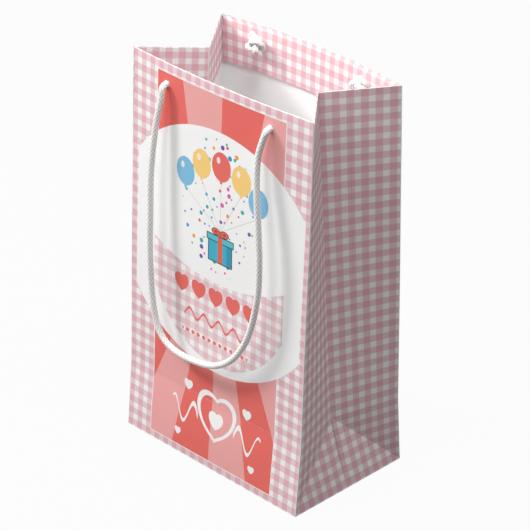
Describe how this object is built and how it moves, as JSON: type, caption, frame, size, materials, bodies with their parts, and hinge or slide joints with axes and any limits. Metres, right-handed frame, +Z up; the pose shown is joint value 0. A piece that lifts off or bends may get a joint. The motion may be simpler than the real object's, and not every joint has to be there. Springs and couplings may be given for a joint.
{
  "type": "paper gift bag",
  "caption": "Small upright paper gift bag with pleated sides, an open mouth, a turned-in top edge and two hanging rope handles",
  "frame": {"origin": "middle of the base, on the surface that the bag stands on, measured without the two ropes", "axes": "+Z is up and the longest extent; X runs along the front wall from left to right; +Y runs from the front wall to the back wall, the shortest extent"},
  "size_m": [0.12, 0.0856, 0.2059],
  "materials": {
    "printed_paper": "satin print on white paper",
    "turned_edge": "satin print on white paper",
    "plain_paper": "plain matte white paper",
    "card": "plain matte white card",
    "rope": "soft braided white rope"
  },
  "bodies": {
    "bag": {"base_board": "card", "base_flap_front": "printed_paper", "base_flap_back": "plain_paper", "base_tab_left": "plain_paper", "base_tab_right": "plain_paper", "front_strip": "printed_paper", "back_strip": "printed_paper", "base_gusset_left": "printed_paper", "base_gusset_right": "printed_paper", "corner_front_left": "printed_paper", "corner_front_right": "printed_paper", "corner_back_left": "printed_paper", "corner_back_right": "printed_paper", "gusset_left_front": "printed_paper", "gusset_left_back": "printed_paper", "gusset_right_front": "printed_paper", "gusset_right_back": "printed_paper", "gusset_hem_left_front": "turned_edge", "gusset_hem_left_back": "turned_edge", "gusset_hem_right_front": "turned_edge", "gusset_hem_right_back": "turned_edge", "seam_flap_low": "plain_paper"},
    "front_wall": {"front_panel": "printed_paper", "front_hem": "turned_edge", "front_card": "card", "front_knot_left": "rope", "front_knot_right": "rope"},
    "back_wall": {"back_panel": "printed_paper", "back_hem": "turned_edge", "back_card": "card", "back_knot_left": "rope", "back_knot_right": "rope", "seam_flap": "plain_paper"},
    "front_handle": {"front_cord": "rope"},
    "back_handle": {"back_cord": "rope"}
  },
  "joints": [
    {"name": "mouth_front", "type": "hinge", "parent": "bag", "child": "front_wall", "pos_m": [0, -0.03358, 0.03684], "axis": [-1, 0, 0], "range_deg": [0, 6], "stiffness_Nm_per_rad": 0.02, "deforming": ["gusset_left_front", "gusset_right_front", "gusset_hem_left_front", "gusset_hem_right_front"]},
    {"name": "mouth_back", "type": "hinge", "parent": "bag", "child": "back_wall", "pos_m": [0, 0.03448, 0.03691], "axis": [1, 0, 0], "range_deg": [0, 6], "stiffness_Nm_per_rad": 0.02, "deforming": ["gusset_left_back", "gusset_right_back", "gusset_hem_left_back", "gusset_hem_right_back"]},
    {"name": "front_handle_swing", "type": "hinge", "parent": "front_wall", "child": "front_handle", "pos_m": [0, -0.03118, 0.19506], "axis": [-1, 0, 0], "range_deg": [0, 165]},
    {"name": "back_handle_swing", "type": "hinge", "parent": "back_wall", "child": "back_handle", "pos_m": [0, 0.03567, 0.19515], "axis": [1, 0, 0], "range_deg": [0, 165]}
  ],
  "couplings": [
    {"joint": "mouth_back", "follows": "mouth_front", "ratio": 1}
  ]
}
